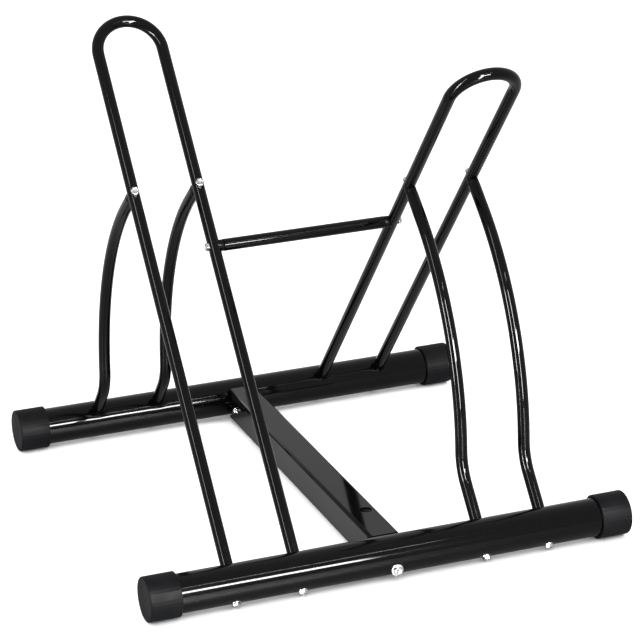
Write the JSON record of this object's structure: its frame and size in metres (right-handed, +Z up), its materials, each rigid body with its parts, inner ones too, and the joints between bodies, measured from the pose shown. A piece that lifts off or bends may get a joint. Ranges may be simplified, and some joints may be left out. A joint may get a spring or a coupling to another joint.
{
  "type": "floor bike rack",
  "caption": "Free-standing steel floor rack that holds two bikes by the wheel between leaning hoops and curved support tubes on a wide tube base.",
  "frame": {"origin": "on the floor, in the middle of the rack's footprint", "axes": "+X along the two base tubes, +Y from the front tube to the rear tube, +Z up"},
  "size_m": [0.652, 0.6304, 0.6246],
  "materials": {
    "gloss_black_paint": "gloss powder coat on steel tube",
    "black_plastic": "matt moulded plastic",
    "saddle_plastic": "satin moulded plastic",
    "zinc_plated_steel": "bright zinc plate"
  },
  "bodies": {
    "root": {"front_base_tube": "gloss_black_paint", "rear_base_tube": "gloss_black_paint", "front_left_end_cap": "black_plastic", "front_right_end_cap": "black_plastic", "rear_right_end_cap": "black_plastic", "rear_left_end_cap": "black_plastic", "connecting_bar": "gloss_black_paint", "left_hoop": "gloss_black_paint", "right_hoop": "gloss_black_paint", "left_outer_support": "gloss_black_paint", "left_inner_support": "gloss_black_paint", "right_outer_support": "gloss_black_paint", "right_inner_support": "gloss_black_paint", "crossbar": "gloss_black_paint", "support_saddles": "saddle_plastic", "crossbar_saddles": "saddle_plastic", "hoop_foot_inserts": "zinc_plated_steel", "support_foot_inserts": "zinc_plated_steel", "support_top_inserts": "zinc_plated_steel", "crossbar_inserts": "zinc_plated_steel", "hoop_foot_bolts": "zinc_plated_steel", "hoop_foot_washers": "zinc_plated_steel", "support_foot_bolts": "zinc_plated_steel", "support_foot_washers": "zinc_plated_steel", "support_top_bolts": "zinc_plated_steel", "crossbar_bolts": "zinc_plated_steel", "bar_bolts": "zinc_plated_steel", "bar_outside_washers": "zinc_plated_steel", "bar_inside_washers": "zinc_plated_steel", "bar_nuts": "zinc_plated_steel"}
  },
  "joints": []
}
